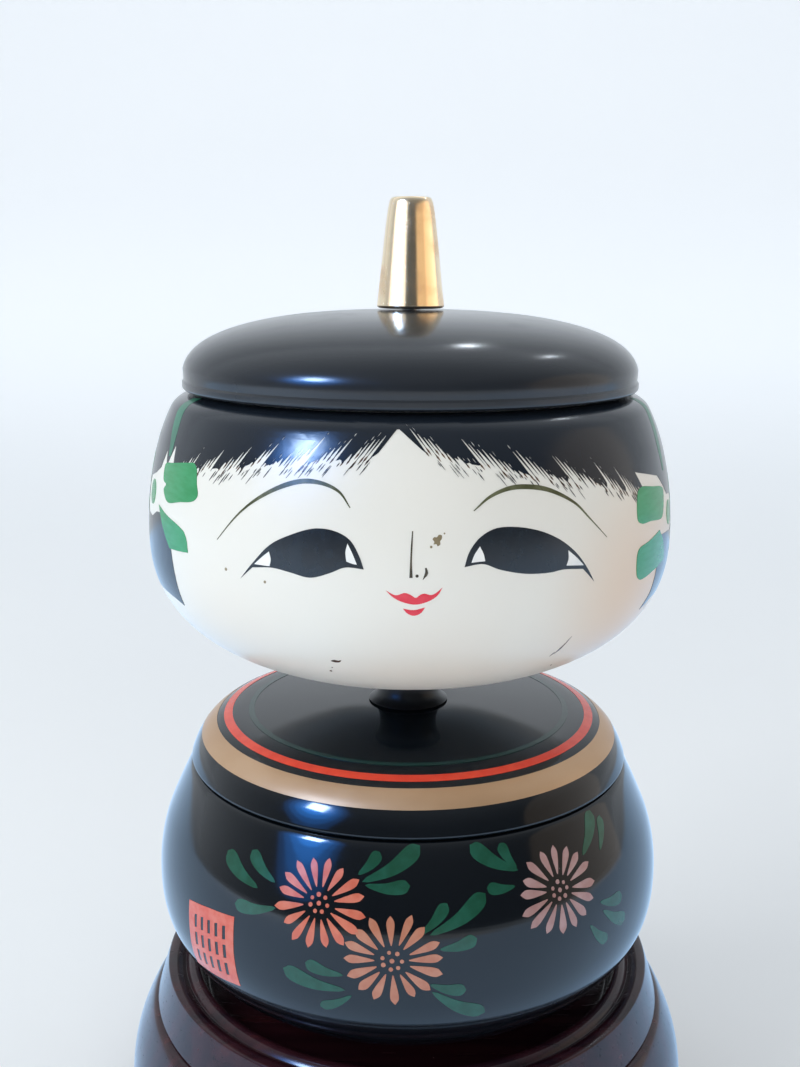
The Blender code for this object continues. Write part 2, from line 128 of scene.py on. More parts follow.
# %% [markdown]
# ## A socket that does sums
# Materials are made of nodes, and a page of node links is hard to read. A small class
# can wrap a socket and overload Python's arithmetic, so that `1 - worn * 0.5` adds the
# right Math nodes by itself. Every other kind of node comes from its one method.

# %% the socket class
class Wire:
    """A shader socket that works in Python sums."""

    def __init__(self, tree, socket=None):
        self.tree = tree
        self.socket = socket

    def node(self, kind, settings=None, inputs=None, output=0):
        """Add a node: its settings first, then the values or links of its sockets."""
        made = self.tree.nodes.new("ShaderNode" + kind)
        for name, value in (settings or {}).items():
            if name == "stops":
                for stop in value[2:]:
                    made.color_ramp.elements.new(stop[0])
                for element, (place, colour) in zip(made.color_ramp.elements, value):
                    element.position = place
                    element.color = colour
            else:
                setattr(made, name, value)
        for name, value in (inputs or {}).items():
            self.feed(made.inputs[name], value)
        return Wire(self.tree, made.outputs[output])

    def feed(self, socket, value):
        if isinstance(value, Wire):
            self.tree.links.new(value.socket, socket)
        else:
            socket.default_value = value

    def maths(self, operation, *values):
        return self.node("Math", {"operation": operation}, dict(enumerate(values)))

    def __add__(self, other):
        return self.maths("ADD", self, other)

    def __sub__(self, other):
        return self.maths("SUBTRACT", self, other)

    def __rsub__(self, other):
        return self.maths("SUBTRACT", other, self)

    def __mul__(self, other):
        return self.maths("MULTIPLY", self, other)

    def __pow__(self, other):
        return self.maths("POWER", self, other)

    __radd__ = __add__
    __rmul__ = __mul__


print("a Wire adds Math nodes for + - * and **")

# %% [markdown]
# ## The words that the finishes share
# Every finish here is made from the same few ideas: a cloudy change over the surface,
# a mask that fades between two values, rings left by the lathe, and specks of dust.
# They read Object coordinates, so a pattern stays where it is when a piece moves. The
# room, which comes next, uses the fade too.

# %% the shared ideas
def start_finish(name, constants):
    """A new material, its shader and the place on the piece that it colours."""
    finish = bpy.data.materials.new(name)
    finish.use_nodes = True
    shader = finish.node_tree.nodes["Principled BSDF"]
    for socket, value in constants.items():
        shader.inputs[socket].default_value = value
    place = Wire(finish.node_tree).node("TexCoord", output="Object")
    return finish, shader, place


def cloud(place, scale, detail=3.0, stretch=(1, 1, 1)):
    """A cloudy value from 0 to 1; a bigger stretch squeezes it along that axis."""
    spot = place.node("Mapping", inputs={"Vector": place, "Scale": stretch})
    return place.node("TexNoise", inputs={"Vector": spot, "Scale": scale, "Detail": detail})


def fade(value, start, end):
    """0 up to start, 1 from end, and a soft change between."""
    return value.node(
        "MapRange", {"interpolation_type": "SMOOTHSTEP"},
        {"Value": value, "From Min": start, "From Max": end},
    )


def tint(factor, first, second):
    """The first colour where the factor is 0, and the second where it is 1."""
    return factor.node("Mix", {"data_type": "RGBA"}, {0: factor, 6: first, 7: second}, 2)


def parts(place):
    """The x, y and z of a place, each as a Wire."""
    split = place.tree.nodes.new("ShaderNodeSeparateXYZ")
    place.feed(split.inputs[0], place)
    return [Wire(place.tree, socket) for socket in split.outputs]


def lathe_rings(place, per_metre):
    """Fine rings that the turning tool left: they change with radius and height only."""
    x, y, z = parts(place)
    along = (x * x + y * y) ** 0.5 + z * 1.3
    return place.node("TexNoise", {"noise_dimensions": "1D"},
                      {"W": along, "Scale": per_metre, "Detail": 4.0})


def specks(place, per_metre, size, share):
    """Dots of dust: 1 inside a dot, for this share of the cells."""
    settings = {"feature": "F1"}
    inputs = {"Vector": place, "Scale": per_metre}
    near = place.node("TexVoronoi", settings, inputs, 0)
    pick = place.node("SeparateColor", inputs={0: place.node("TexVoronoi", settings, inputs, 1)})
    return place.maths("LESS_THAN", near, pick * size) * place.maths("LESS_THAN", pick, share)


def bumped(shader, height, depth, strength=1.0):
    """Raise the surface by this height map, whose full swing is depth metres."""
    lifted = height.node("Bump", inputs={"Strength": strength, "Distance": depth, "Height": height})
    height.feed(shader.inputs["Normal"], lifted)


print("shared ideas: cloud, fade, tint, lathe rings, specks, bump")

# %% [markdown]
# ## The room
# The studio is bright behind the doll and dim in front of it, where the camera stands.
# That is what gives black lacquer its depth: dark in the middle, with pale edges that
# mirror the bright wall. A light-path switch shows the camera an even pale wall, and
# gives the mirrors this uneven room.

# %% the room that the lacquer mirrors
world = bpy.data.worlds.new("pale room")
world.use_nodes = True
room = world.node_tree.nodes["Background"]
way = Wire(world.node_tree).node("TexCoord", output="Generated")
x, y, z = parts(way)
behind = fade(y, -0.55, 0.75)
above = fade(z, 0.2, 1.0)
at_left = fade(x * -1, 0.2, 1.0)
glow = 0.10 + behind * 0.82 + above * 0.34 + at_left * 0.15
seen = way.node("LightPath", output="Is Camera Ray")
way.feed(room.inputs["Strength"], seen * 0.95 + (1 - seen) * glow)
room.inputs["Color"].default_value = (0.86, 0.93, 1.0, 1)
bpy.context.scene.world = world
bpy.context.scene.view_settings.view_transform = "Standard"
bpy.context.scene.view_settings.look = "None"
print("room:", world.name)

# %% [markdown]
# ## Lacquers
# Lacquer is coloured resin laid over the wood, rubbed down and polished. It mirrors
# the room sharply, but never perfectly: the polish is uneven, fine rings of the lathe
# show through, and dust lies on it. So each lacquer is a near-flat colour with a low
# roughness that wanders, a very faint ringed bump, and specks that are dull and pale.

# %% lacquer
DUST = (0.30, 0.32, 0.34, 1)


def lacquer(name, colour, light_colour, rough=0.07, dust=0.35, ring_depth=0.003 * MM, share=0.10):
    """A lacquer that wanders between two colours; dust is the specks' size, share how many."""
    finish, shader, place = start_finish(name, {"IOR": 1.47})
    polish = cloud(place, 35)
    dusty = specks(place, 420, dust, share)
    rings = lathe_rings(place, 1500)
    smear = fade(cloud(place, 120, 5, stretch=(1, 1, 2.5)), 0.52, 0.78)
    body = tint(polish, colour, light_colour)
    shown = tint(dusty * 0.65, body, DUST)
    place.feed(shader.inputs["Base Color"], shown)
    place.feed(shader.inputs["Roughness"], rough + polish * 0.05 + smear * 0.05 + dusty * 0.45)
    bumped(shader, rings + cloud(place, 260, 2) * 0.8 + dusty * 3, ring_depth)
    return finish


black_lacquer = lacquer("black lacquer", (0.0022, 0.0036, 0.0058, 1), (0.0040, 0.0062, 0.0095, 1))
# the hair lid and the painted hair get rougher, dustier lacquers; their colours are lifted from black to a
# blue-grey, and that lift is a painted sheen of the pale room above them
lid_lacquer_painted_sheen = lacquer("hair lid lacquer with painted sheen", (0.012, 0.015, 0.020, 1), (0.018, 0.022, 0.029, 1),
                      0.15, 0.4, 0.005 * MM, 0.16)
hair_lacquer_painted_sheen = lacquer("hair lacquer with painted sheen", (0.007, 0.011, 0.018, 1), (0.012, 0.017, 0.026, 1), 0.15, 0.3)
neck_lacquer = lacquer("neck lacquer", (0.0015, 0.002, 0.003, 1), (0.003, 0.003, 0.004, 1), 0.30, 0.2)
print("black lacquers:", black_lacquer.name, "|", lid_lacquer_painted_sheen.name, "|", hair_lacquer_painted_sheen.name)

# %% [markdown]
# ## The skin
# The face is an ivory lacquer, cooler on the left and warmer and darker on the right. A
# peach blush is wiped on along the lower cheeks and low in front; the large soft patch of
# it on the right side is partly real blush and partly painted shade, on the side away
# from the main lamp. A blush has no edge, so it is a soft mask of distance from a point,
# broken up by a cloud.

# %% ivory lacquer
def near(place, spot, inner, outer):
    """1 within inner of a spot on the piece, and 0 beyond outer, in millimetres."""
    gap = place.node("VectorMath", {"operation": "DISTANCE"},
                     {0: place, 1: Vector(spot) * MM}, 1)
    return 1 - fade(gap, inner * MM, outer * MM)


ivory, shader, place = start_finish("ivory lacquer", {"IOR": 1.45})
uneven = cloud(place, 30, 1)
fine = cloud(place, 600, 3)
# partly painted shade: the big soft spot on the right side is partly real blush and partly the warm shade on
# the side away from the main lamp; the small spots low in front and on the left cheek are blush alone
blush_and_painted_shade = near(place, (40, -26, 122), 6, 30) * 0.85 + near(place, (4, -44, 108), 4, 26) * 0.25
blush_and_painted_shade = blush_and_painted_shade + near(place, (-30, -36, 117), 4, 20) * 0.12
skin = tint(uneven, (0.76, 0.765, 0.735, 1), (0.725, 0.73, 0.695, 1))
# the peach of the blush, which on the right side also stands in for warm shade
skin = tint(blush_and_painted_shade * (0.85 + uneven * 0.3), skin, (0.70, 0.53, 0.39, 1))
age = specks(place, 260, 0.30, 0.05)
place.feed(shader.inputs["Base Color"], tint(age * 0.35, skin, (0.30, 0.24, 0.18, 1)))
place.feed(shader.inputs["Roughness"], 0.26 + uneven * 0.10 + fine * 0.03 + age * 0.2)
bumped(shader, lathe_rings(place, 900) + uneven * 0.4, 0.002 * MM)
print("skin:", ivory.name)

# %% [markdown]
# ## The stand's stained wood
# The stand is turned from a close-grained wood, stained a deep red-brown and varnished.
# Grain is the same in the whole block: long along one direction, fine across it. A
# cloud squeezed across the grain and stretched along it gives that in three
# dimensions, so that it crosses the mouldings as a cut through real wood does.

# %% stained rosewood
rosewood, shader, place = start_finish("stained rosewood", {"IOR": 1.36, "Coat Roughness": 0.08})
fibres = cloud(place, 90, 6, stretch=(0.18, 3.0, 2.2))
pores = fade(cloud(place, 500, 3, stretch=(0.08, 3.0, 3.0)), 0.60, 0.72)
stain = place.node("ValToRGB", {"stops": [
    (0.30, (0.010, 0.004, 0.008, 1)),
    (0.62, (0.034, 0.009, 0.014, 1)),
    (0.85, (0.085, 0.020, 0.020, 1)),
]}, {"Fac": fibres})
dusty = specks(place, 420, 0.4, 0.12)
stain = tint(pores * 0.7, stain, (0.004, 0.002, 0.003, 1))
place.feed(shader.inputs["Base Color"], tint(dusty * 0.5, stain, (0.25, 0.24, 0.24, 1)))
place.feed(shader.inputs["Roughness"], 0.12 + fibres * 0.12 + pores * 0.15 + dusty * 0.4)
place.feed(shader.inputs["Coat Weight"], 0.12 - pores * 0.1)
bumped(shader, lathe_rings(place, 900) * 0.6 - pores * 0.5, 0.008 * MM)
print("stand:", rosewood.name)

# %% [markdown]
# ## Brass and steel
# Bare metal shows its making in its shine. The knob is turned brass: bright, with fine
# rings and a few darker patches where fingers dulled it. The screws and washers are
# plain steel, greyer and rougher.

# %% metals
def metal(name, bright, dull, rough, rings_per_metre, ring_depth):
    """A turned metal, bright with dull patches."""
    finish, shader, place = start_finish(name, {"Metallic": 1.0})
    tarnish = fade(cloud(place, 130, 5), 0.45, 0.75)
    rings = lathe_rings(place, rings_per_metre)
    place.feed(shader.inputs["Base Color"], tint(tarnish, bright, dull))
    place.feed(shader.inputs["Roughness"], rough + tarnish * 0.14 + rings * 0.05)
    bumped(shader, rings + specks(place, 700, 0.3, 0.06) * 2, ring_depth)
    return finish


brass = metal("turned brass", (0.96, 0.79, 0.56, 1), (0.80, 0.58, 0.36, 1), 0.15, 4000, 0.0025 * MM)
steel = metal("screw steel", (0.62, 0.63, 0.65, 1), (0.38, 0.36, 0.34, 1), 0.24, 3000, 0.006 * MM)
print("metals:", brass.name, "|", steel.name)

# %% [markdown]
# ## Brush paints
# The face, the ribbons and the flowers are brush work: colour that is thicker where
# the brush pressed and thinner where it ran dry. Each paint is two tones of one
# colour, mixed by a streaky cloud, under the same polish as the lacquer around it.

# %% brush paint
def brush_paint(name, colour, thin_colour, rough=0.17, streak=(1, 1, 1), scale=420, metallic=0.0):
    """A paint of two tones, streaked as the brush left it."""
    finish, shader, place = start_finish(name, {"Metallic": metallic, "IOR": 1.5})
    streaks = cloud(place, scale, 4, stretch=streak)
    patch = cloud(place, 90, 2)
    mixed = fade(streaks * 0.6 + patch * 0.4, 0.36, 0.66)
    place.feed(shader.inputs["Base Color"], tint(mixed, colour, thin_colour))
    place.feed(shader.inputs["Roughness"], rough + streaks * 0.12)
    bumped(shader, streaks, 0.01 * MM, 0.6)
    return finish


ink = brush_paint("eye ink", (0.007, 0.010, 0.015, 1), (0.010, 0.016, 0.023, 1), 0.16)
brow_ink = brush_paint("brow ink", (0.060, 0.066, 0.030, 1), (0.13, 0.14, 0.08, 1))
nose_ink = brush_paint("nose ink", (0.035, 0.026, 0.014, 1), (0.10, 0.08, 0.05, 1))
eye_white = brush_paint("eye white", (0.84, 0.86, 0.86, 1), (0.74, 0.78, 0.80, 1))
lip_red = brush_paint("lip red", (0.64, 0.016, 0.034, 1), (0.70, 0.045, 0.07, 1))
thin_black = brush_paint("thin black", (0.045, 0.022, 0.014, 1), (0.16, 0.095, 0.060, 1))
ribbon_green = brush_paint("ribbon green", (0.014, 0.24, 0.075, 1), (0.030, 0.29, 0.11, 1), 0.16,
                           (1, 1, 4), 260)
blot_brown = brush_paint("blot brown", (0.20, 0.16, 0.09, 1), (0.34, 0.29, 0.20, 1))
# a dull, rough green for the streaks on the sides of the hair
side_streak_green = brush_paint("side streak green", (0.02, 0.13, 0.08, 1), (0.03, 0.20, 0.12, 1), 0.28)
print("face paints:", ink.name, "|", brow_ink.name, "|", lip_red.name, "|", ribbon_green.name)

# %% flower paints
salmon = brush_paint("salmon petals", (0.50, 0.115, 0.070, 1), (0.58, 0.18, 0.12, 1), 0.16)
clay = brush_paint("clay petals", (0.40, 0.15, 0.090, 1), (0.46, 0.21, 0.14, 1), 0.16)
mauve = brush_paint("mauve petals", (0.33, 0.18, 0.175, 1), (0.40, 0.26, 0.265, 1), 0.16)
leaf_green = brush_paint("leaf green", (0.006, 0.058, 0.032, 1), (0.010, 0.085, 0.055, 1), 0.14)
seal_red = brush_paint("panel red", (0.56, 0.085, 0.045, 1), (0.60, 0.15, 0.10, 1), 0.17)
band_red = brush_paint("band red", (0.80, 0.070, 0.030, 1), (0.72, 0.052, 0.024, 1), 0.16)
band_green = brush_paint("band green", (0.006, 0.033, 0.028, 1), (0.010, 0.045, 0.038, 1), 0.16)
band_gold = brush_paint("band gold", (0.48, 0.30, 0.17, 1), (0.53, 0.345, 0.205, 1), 0.30,
                        (1, 1, 3), 60, 0.5)
print("body paints:", salmon.name, "|", clay.name, "|", mauve.name, "|", leaf_green.name)

# %% [markdown]
# ## Outlines from the CAD
# The CAD solids are right in size but coarse, forty flats round. Each one is cut in
# half through its axis, and the cut is its outline. A smooth line drawn through the
# outline's points, with the sharp corners kept as corners, is what a turner would
# follow, and it never leaves the CAD's own shape by more than a hair.

# %% a flowing line
BEND = 0.06              # a short stretch that leaves at more than this angle gets a middle point


def flowing(points, spacing, closed=False):
    """A smooth line through the points, with its own points about this far apart at most."""
    points = [Vector(p) for p in points]
    if closed:
        chain = [points[-1], *points, points[0], points[1]]
    else:
        chain = [2 * points[0] - points[1], *points, 2 * points[-1] - points[-2]]
    line = []
    for before, start, end, after in zip(chain, chain[1:], chain[2:], chain[3:]):
        a, b, c = ((q - p).length ** 0.5 for p, q in pairwise((before, start, end, after)))
        leave = (a * a * end - b * b * before + (2 * a * a + 3 * a * b + b * b) * start) / (3 * a * (a + b))
        arrive = (c * c * start - b * b * after + (2 * c * c + 3 * c * b + b * b) * end) / (3 * c * (c + b))
        count = max(1, ceil((end - start).length / spacing))
        if count == 1 and (leave - start).angle(end - start, 0) > BEND:
            count = 2
        line += interpolate_bezier(start, leave, arrive, end, count + 1)[:-1]
    if not closed:
        line.append(points[-1])
    return [Vector(p[:2]) for p in line]


print("a line through 3 points becomes", len(flowing([(0, 0), (1, 1), (2, 0)], 0.2)), "points")

# %% the outline of a CAD solid
SAME_PLACE = 0.001 * MM  # points closer than this are one point
STRAIGHT = 0.4           # degrees: an outline that turns less than this goes straight on


def section(node):
    """The (radius, height) points of a solid cut through its axis, and whether they close."""
    solid = bmesh.new()
    solid.from_mesh(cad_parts[node].data)
    bmesh.ops.remove_doubles(solid, verts=solid.verts, dist=SAME_PLACE)
    for side, keep_half in (((1, 0, 0), True), ((0, 1, 0), False)):
        cut = bmesh.ops.bisect_plane(
            solid, geom=solid.verts[:] + solid.edges[:] + solid.faces[:], dist=0.0005 * MM,
            plane_co=(0, 0, 0), plane_no=side, clear_inner=keep_half,
        )["geom_cut"]
    links = {}
    for edge in (g for g in cut if isinstance(g, bmesh.types.BMEdge)):
        first, second = edge.verts
        links.setdefault(first, []).append(second)
        links.setdefault(second, []).append(first)
    ends = [v for v, others in links.items() if len(others) == 1]
    here = ends[0] if ends else next(iter(links))
    came, chain = None, []
    while here is not None and here not in chain:
        chain.append(here)
        ahead = [v for v in links[here] if v is not came and v not in chain]
        came, here = here, (ahead[0] if ahead else None)
    points = [Vector((max(v.co.x, 0.0), v.co.z)) for v in chain]
    solid.free()
    return points, not ends


def turn_at(before, point, after):
    """How far an outline turns at a point, in degrees."""
    return abs((point - before).angle_signed(after - point, 0)) * 180 / pi


def without_straights(points, closed):
    """The same outline without the points that lie in the middle of a straight stretch."""
    kept = []
    for i, point in enumerate(points):
        inside = closed or 0 < i < len(points) - 1
        if inside and turn_at(points[i - 1], point, points[(i + 1) % len(points)]) < STRAIGHT:
            continue
        kept.append(point)
    return kept


print("stand outline:", len(section("stand")[0]), "points")

# %% corners that a cloth could wipe
def eased(points, closed, corner=44, radius=0.22 * MM, spacing=1.4 * MM):
    """Round the sharp corners slightly and make every other stretch flow."""
    points = without_straights(points, closed)
    count = len(points)
    sharp = [
        i for i in range(count)
        if (closed or 0 < i < count - 1)
        and turn_at(points[i - 1], points[i], points[(i + 1) % count]) > corner
    ]
    if closed:
        points = points[sharp[0]:] + points[:sharp[0]] + [points[sharp[0]]]
        breaks = [i - sharp[0] for i in sharp] + [count]
    else:
        breaks = [0, *sharp, count - 1]
    line = []
    for first, last in pairwise(breaks):
        stretch = flowing(points[first:last + 1], spacing)
        reach = sum((q - p).length for p, q in pairwise(stretch))
        trim = min(radius, 0.35 * reach)
        head = closed or first > 0
        tail = closed or last < count - 1
        stretch = trimmed(stretch, trim if head else 0)
        stretch = trimmed(stretch[::-1], trim if tail else 0)[::-1]
        if line and head:
            line += round_corner(line[-1], points[first], stretch[0])
        line += stretch
    if closed:
        line += round_corner(line[-1], points[0], line[0])
    return line


def trimmed(line, length):
    """The line without its first length, and with one guard point close to the new end."""
    if not length:
        return line
    for place in (length, 2 * length):
        walked = 0.0
        for i, (p, q) in enumerate(pairwise(line)):
            step = (q - p).length
            if walked + step > place * 1.001:
                point = p.lerp(q, (place - walked) / step)
                break
            walked += step
        else:
            return [start, line[-1]]
        if place == length:
            start = point
    return [start, point, *line[i + 1:]]


def round_corner(start, corner, end):
    """Three points on the curve that rounds a corner."""
    return [
        (1 - t) ** 2 * start + 2 * t * (1 - t) * corner + t * t * end
        for t in (0.25, 0.5, 0.75)
    ]


outlines = {}
for node in ("stand", "body_bowl", "shoulder_lid", "neck", "head_bowl", "hair_lid",
             "finial_knob", "neck_washer", "finial_washer"):
    points, closed = section(node)
    outlines[node] = (eased(points, closed), closed)
    print(node, len(points), "->", len(outlines[node][0]), "points", "closed" if closed else "open")

# %% [markdown]
# ## Turning
# `bmesh.ops.spin` is the lathe: it carries the outline once round the axis and welds
# the last step to the first. Points on the axis all end up in one place, so doubles
# are merged there, and the normals are then worked out afresh to face outwards.

# %% the lathe
TURNS = 192              # steps of the lathe round a big piece


def finished(shape, name, finish, body, sharp=32):
    """Make the shaped mesh an object that rides on a body."""
    bmesh.ops.recalc_face_normals(shape, faces=shape.faces)
    mesh = bpy.data.meshes.new(name)
    shape.to_mesh(mesh)
    shape.free()
    mesh.shade_smooth()
    mesh.set_sharp_from_angle(angle=radians(sharp))
    mesh.materials.append(finish)
    piece = bpy.data.objects.new(name, mesh)
    bpy.context.scene.collection.objects.link(piece)
    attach(piece, body)
    print(f"{name}: {len(mesh.polygons)} faces")
    return piece


def spun(outline, closed, steps):
    """The mesh that an outline makes when it is spun round the Z axis."""
    shape = bmesh.new()
    points = [shape.verts.new((radius, 0, height)) for radius, height in outline]
    edges = [shape.edges.new(pair) for pair in pairwise(points)]
    if closed:
        edges.append(shape.edges.new((points[-1], points[0])))
    bmesh.ops.spin(shape, geom=points + edges, cent=(0, 0, 0), axis=(0, 0, 1),
                   angle=2 * pi, steps=steps, use_merge=True)
    bmesh.ops.remove_doubles(shape, verts=shape.verts, dist=SAME_PLACE)
    return shape


def turned(node, name, finish, body, steps=TURNS):
    """Turn a CAD solid's outline finely, in that solid's place."""
    outline, closed = outlines[node]
    piece = finished(spun(outline, closed, steps), name, finish, body)
    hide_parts(node)
    return piece


turned("stand", "turned_stand", rosewood, "stand")
turned("body_bowl", "turned_body", black_lacquer, "body")
turned("shoulder_lid", "turned_shoulder_lid", black_lacquer, "shoulder")
turned("neck", "turned_neck", neck_lacquer, "shoulder", 96)
turned("head_bowl", "turned_head", ivory, "head")
turned("hair_lid", "turned_hair_lid", lid_lacquer_painted_sheen, "hair_lid")
turned_knob = turned("finial_knob", "turned_knob", brass, "hair_lid", 96)
turned("neck_washer", "turned_neck_washer", steel, "shoulder", 72)
turned("finial_washer", "turned_knob_washer", steel, "hair_lid", 72)

# %% [markdown]
# ## Two cards for the brass
# Polished metal shows only what stands around it, and a dim room makes it look dull. In
# a studio, white and gold cards are held up close to it and hidden from everything
# else. Light linking does the same: these two lamps reach the knob alone.

# %% cards for the knob
knob_only = bpy.data.collections.new("knob only")
knob_only.objects.link(turned_knob)
for card in (
    lamp("white card", -50, 8, 1.1, 1.25, 1.3, 7.0, (1.0, 1.0, 0.98), True, False),
    lamp("gold card", 66, 8, 1.0, 1.8, 0.9, 3.8, (1.0, 0.70, 0.40), True, False),
):
    card.light_linking.receiver_collection = knob_only

# %% [markdown]
# ## The screws stay as they are
# The two screws have a slot cut across them, so they aren't plain turnings, and their
# CAD shapes are already right. They keep their own meshes and only get the steel.

# %% screws
for node in ("neck_screw", "finial_screw"):
    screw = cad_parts[node]
    if not screw.material_slots:
        screw.data.materials.append(steel)
    for held in screw.material_slots:
        held.material = steel
    print(node, "is", steel.name)

# %% [markdown]
# ## Finding a place on a turned side
# Paint needs an address on the wood. On a turned side two numbers are enough: how far
# round from the middle of the face, and how far up the side from its widest line,
# measured along the surface as a strip of paper would. The distance round counts 50 mm
# to the radian, which is true close to the widest line and shorter above and below it.

# %% a side to paint on
PER_RADIAN = 50          # millimetres round the widest line for one radian
REACH = PER_RADIAN * MM


class Side:
    """The outer side of a turned piece, from low to high; rises count from its widest line."""

    def __init__(self, node):
        outline, closed = outlines[node]
        widest = max(range(len(outline)), key=lambda i: outline[i].x)
        ways = []
        for step in (1, -1):
            way, i = [], widest
            while closed or 0 <= i + step < len(outline):
                i = (i + step) % len(outline)
                if outline[i].x > (way[-1].x if way else outline[widest].x) + SAME_PLACE:
                    break
                way.append(outline[i])
            ways.append(way)
        upward, downward = sorted(ways, key=lambda way: -way[min(3, len(way) - 1)].y)
        self.points = downward[::-1] + [outline[widest]] + upward
        self.rises = [0.0]
        for p, q in pairwise(self.points):
            self.rises.append(self.rises[-1] + (q - p).length)
        level = self.rises[len(downward)]
        self.rises = [rise - level for rise in self.rises]

    def at(self, rise):
        """The (radius, height) at a rise, and the direction straight out of the side."""
        i = min(max(bisect_left(self.rises, rise), 1), len(self.rises) - 1)
        part = (rise - self.rises[i - 1]) / (self.rises[i] - self.rises[i - 1])
        place = self.points[i - 1].lerp(self.points[i], part)
        slopes = [
            (self.points[min(j + 1, len(self.points) - 1)] - self.points[max(j - 1, 0)]).normalized()
            for j in (i - 1, i)
        ]
        along = slopes[0].lerp(slopes[1], part).normalized()
        return place, Vector((along.y, -along.x))

    def wrapped(self, round_way, rise, lift):
        """The point in space for a drawing's point, lifted off the side by this much."""
        place, out = self.at(rise)
        place = place + out * lift
        angle = round_way / REACH
        return Vector((place.x * sin(angle), -place.x * cos(angle), place.y))

    def rise_where(self, radius):
        """The rise above the widest line where the side has come in to this radius."""
        for (p, q), rise in zip(pairwise(self.points), self.rises):
            if rise >= 0 and q.x <= radius <= p.x:
                return rise + (q - p).length * (p.x - radius) / max(p.x - q.x, 1e-9)
        return self.rises[-1]


head_side = Side("head_bowl")
body_side = Side("body_bowl")
shoulder_side = Side("shoulder_lid")
ON_HEAD = (head_side, "head", "ivory_lacquer")
ON_BODY = (body_side, "body", "black_lacquer")
print("head side", round(head_side.rises[0] / MM, 1), "to", round(head_side.rises[-1] / MM, 1), "mm")

# %% [markdown]
# ## Drawing with a brush
# A drawing is a set of closed lines on flat paper. A brush stroke is a middle line
# with a width at each of its points, and a plain shape is a smooth closed line where a
# point given twice in a row is a sharp corner. Both are in millimetres.

# %% lines on paper
FINEST = 0.012           # half the width of the thinnest line that a brush leaves


def drawn(points, spacing=0.35):
    """A smooth closed line through the points; a doubled point is a sharp corner."""
    marks = []
    for point in points:
        if marks and marks[-1][0] == point:
            marks[-1][1] = True
        else:
            marks.append([point, False])
    corners = [i for i, (_, is_corner) in enumerate(marks) if is_corner]
    if not corners:
        return flowing([Vector(p) for p, _ in marks], spacing, closed=True)
    marks = marks[corners[0]:] + marks[:corners[0] + 1]
    breaks = [i for i, (_, is_corner) in enumerate(marks) if is_corner]
    line = []
    for first, last in pairwise(breaks):
        line += flowing([Vector(p) for p, _ in marks[first:last + 1]], spacing)[:-1]
    return line


def stroke(points, widths, spacing=0.5):
    """A brush stroke along the points, with these widths spread evenly along it."""
    line = flowing([Vector(p) for p in points], spacing)
    if len(line) < 5:
        line = flowing([Vector(p) for p in points], (line[-1] - line[0]).length / 5)
    left, right = [], []
    for i, point in enumerate(line):
        before, after = line[max(i - 1, 0)], line[min(i + 1, len(line) - 1)]
        along = (after - before).normalized()
        place = i / (len(line) - 1) * (len(widths) - 1)
        low = min(int(place), len(widths) - 2)
        half = (widths[low] + (widths[low + 1] - widths[low]) * (place - low)) / 2
        side = Vector((-along.y, along.x)) * max(half, FINEST)
        left.append(point + side)
        right.append(point - side)
    return left + right[::-1]


def dot(centre, radius, points=10):
    """A round dot with this many points round it."""
    return [
        Vector(centre) + Vector((cos(2 * pi * i / points), sin(2 * pi * i / points))) * radius
        for i in range(points)
    ]


print("a stroke of 3 points has", len(stroke([(0, 0), (2, 1), (4, 0)], [0, 1, 0])), "points round it")

# %% [markdown]
# ## Wrapping a drawing onto the wood
# The closed lines are filled, and the flat sheet is cut wherever the turned mesh has an
# edge, so that both bend at the same places and the wood never shows through. Each
# point is then moved to its place on the side, and the sheet is given a thickness.
# That leaves a thin closed shell of paint with a crisp edge.

# %% paint on a side
LIFT = 0.05              # how far paint stands off the wood, in millimetres
ROOT = 0.04              # how far its shell reaches into the wood, so that no gap shows
SNAP = 0.002             # a cut that passes this close to a point goes through it
MERGE = 0.0005           # points of a sheet this close become one
WELD = 0.01              # and on a crowded sheet, this close
PAINT_CORNER = 50        # a paint's edge is shaded sharp from this many degrees


def paint(name, shapes, wood, finish, lift=LIFT, weld=False):
    """Lay these shapes on the wood as one thin shell of paint.

    A shape is one closed line, or a list of an outer line and the lines of its holes.
    """
    side, body, slot = wood
    sheet = bmesh.new()
    for shape in shapes:
        loops = shape if isinstance(shape[0], list) else [shape]
        edges = []
        for loop in loops:
            points = [sheet.verts.new((p[0], p[1], 0)) for p in loop]
            edges += [sheet.edges.new(pair) for pair in zip(points, points[1:] + points[:1])]
        bmesh.ops.triangle_fill(sheet, use_beauty=True, edges=edges, normal=(0, 0, 1))
    low, high = (Vector(map(pick, zip(*(v.co for v in sheet.verts)))) for pick in (min, max))
    step = 2 * pi * REACH / MM / TURNS
    columns = [i * step for i in range(ceil(low.x / step), floor(high.x / step) + 1)]
    rows = [rise / MM for rise in side.rises if low.y < rise / MM < high.y]
    for plane, places in (((1, 0, 0), columns), ((0, 1, 0), rows)):
        for place in places:
            bmesh.ops.bisect_plane(
                sheet, geom=sheet.verts[:] + sheet.edges[:] + sheet.faces[:], dist=SNAP,
                plane_co=Vector(plane) * place, plane_no=plane,
            )
    for point in sheet.verts:
        point.co = side.wrapped(point.co.x * MM, point.co.y * MM, lift * MM)
    bmesh.ops.remove_doubles(sheet, verts=sheet.verts, dist=(WELD if weld else MERGE) * MM)
    bmesh.ops.dissolve_degenerate(sheet, edges=sheet.edges, dist=0.0002 * MM)
    for face in sheet.faces:
        if face.normal.dot(Vector((face.calc_center_median().x, face.calc_center_median().y, 0))) < 0:
            face.normal_flip()
    bmesh.ops.solidify(sheet, geom=sheet.faces[:], thickness=(lift + ROOT) * MM)
    return finished(sheet, name, finish, body, PAINT_CORNER)


print("paint is laid", LIFT, "mm proud of the wood")

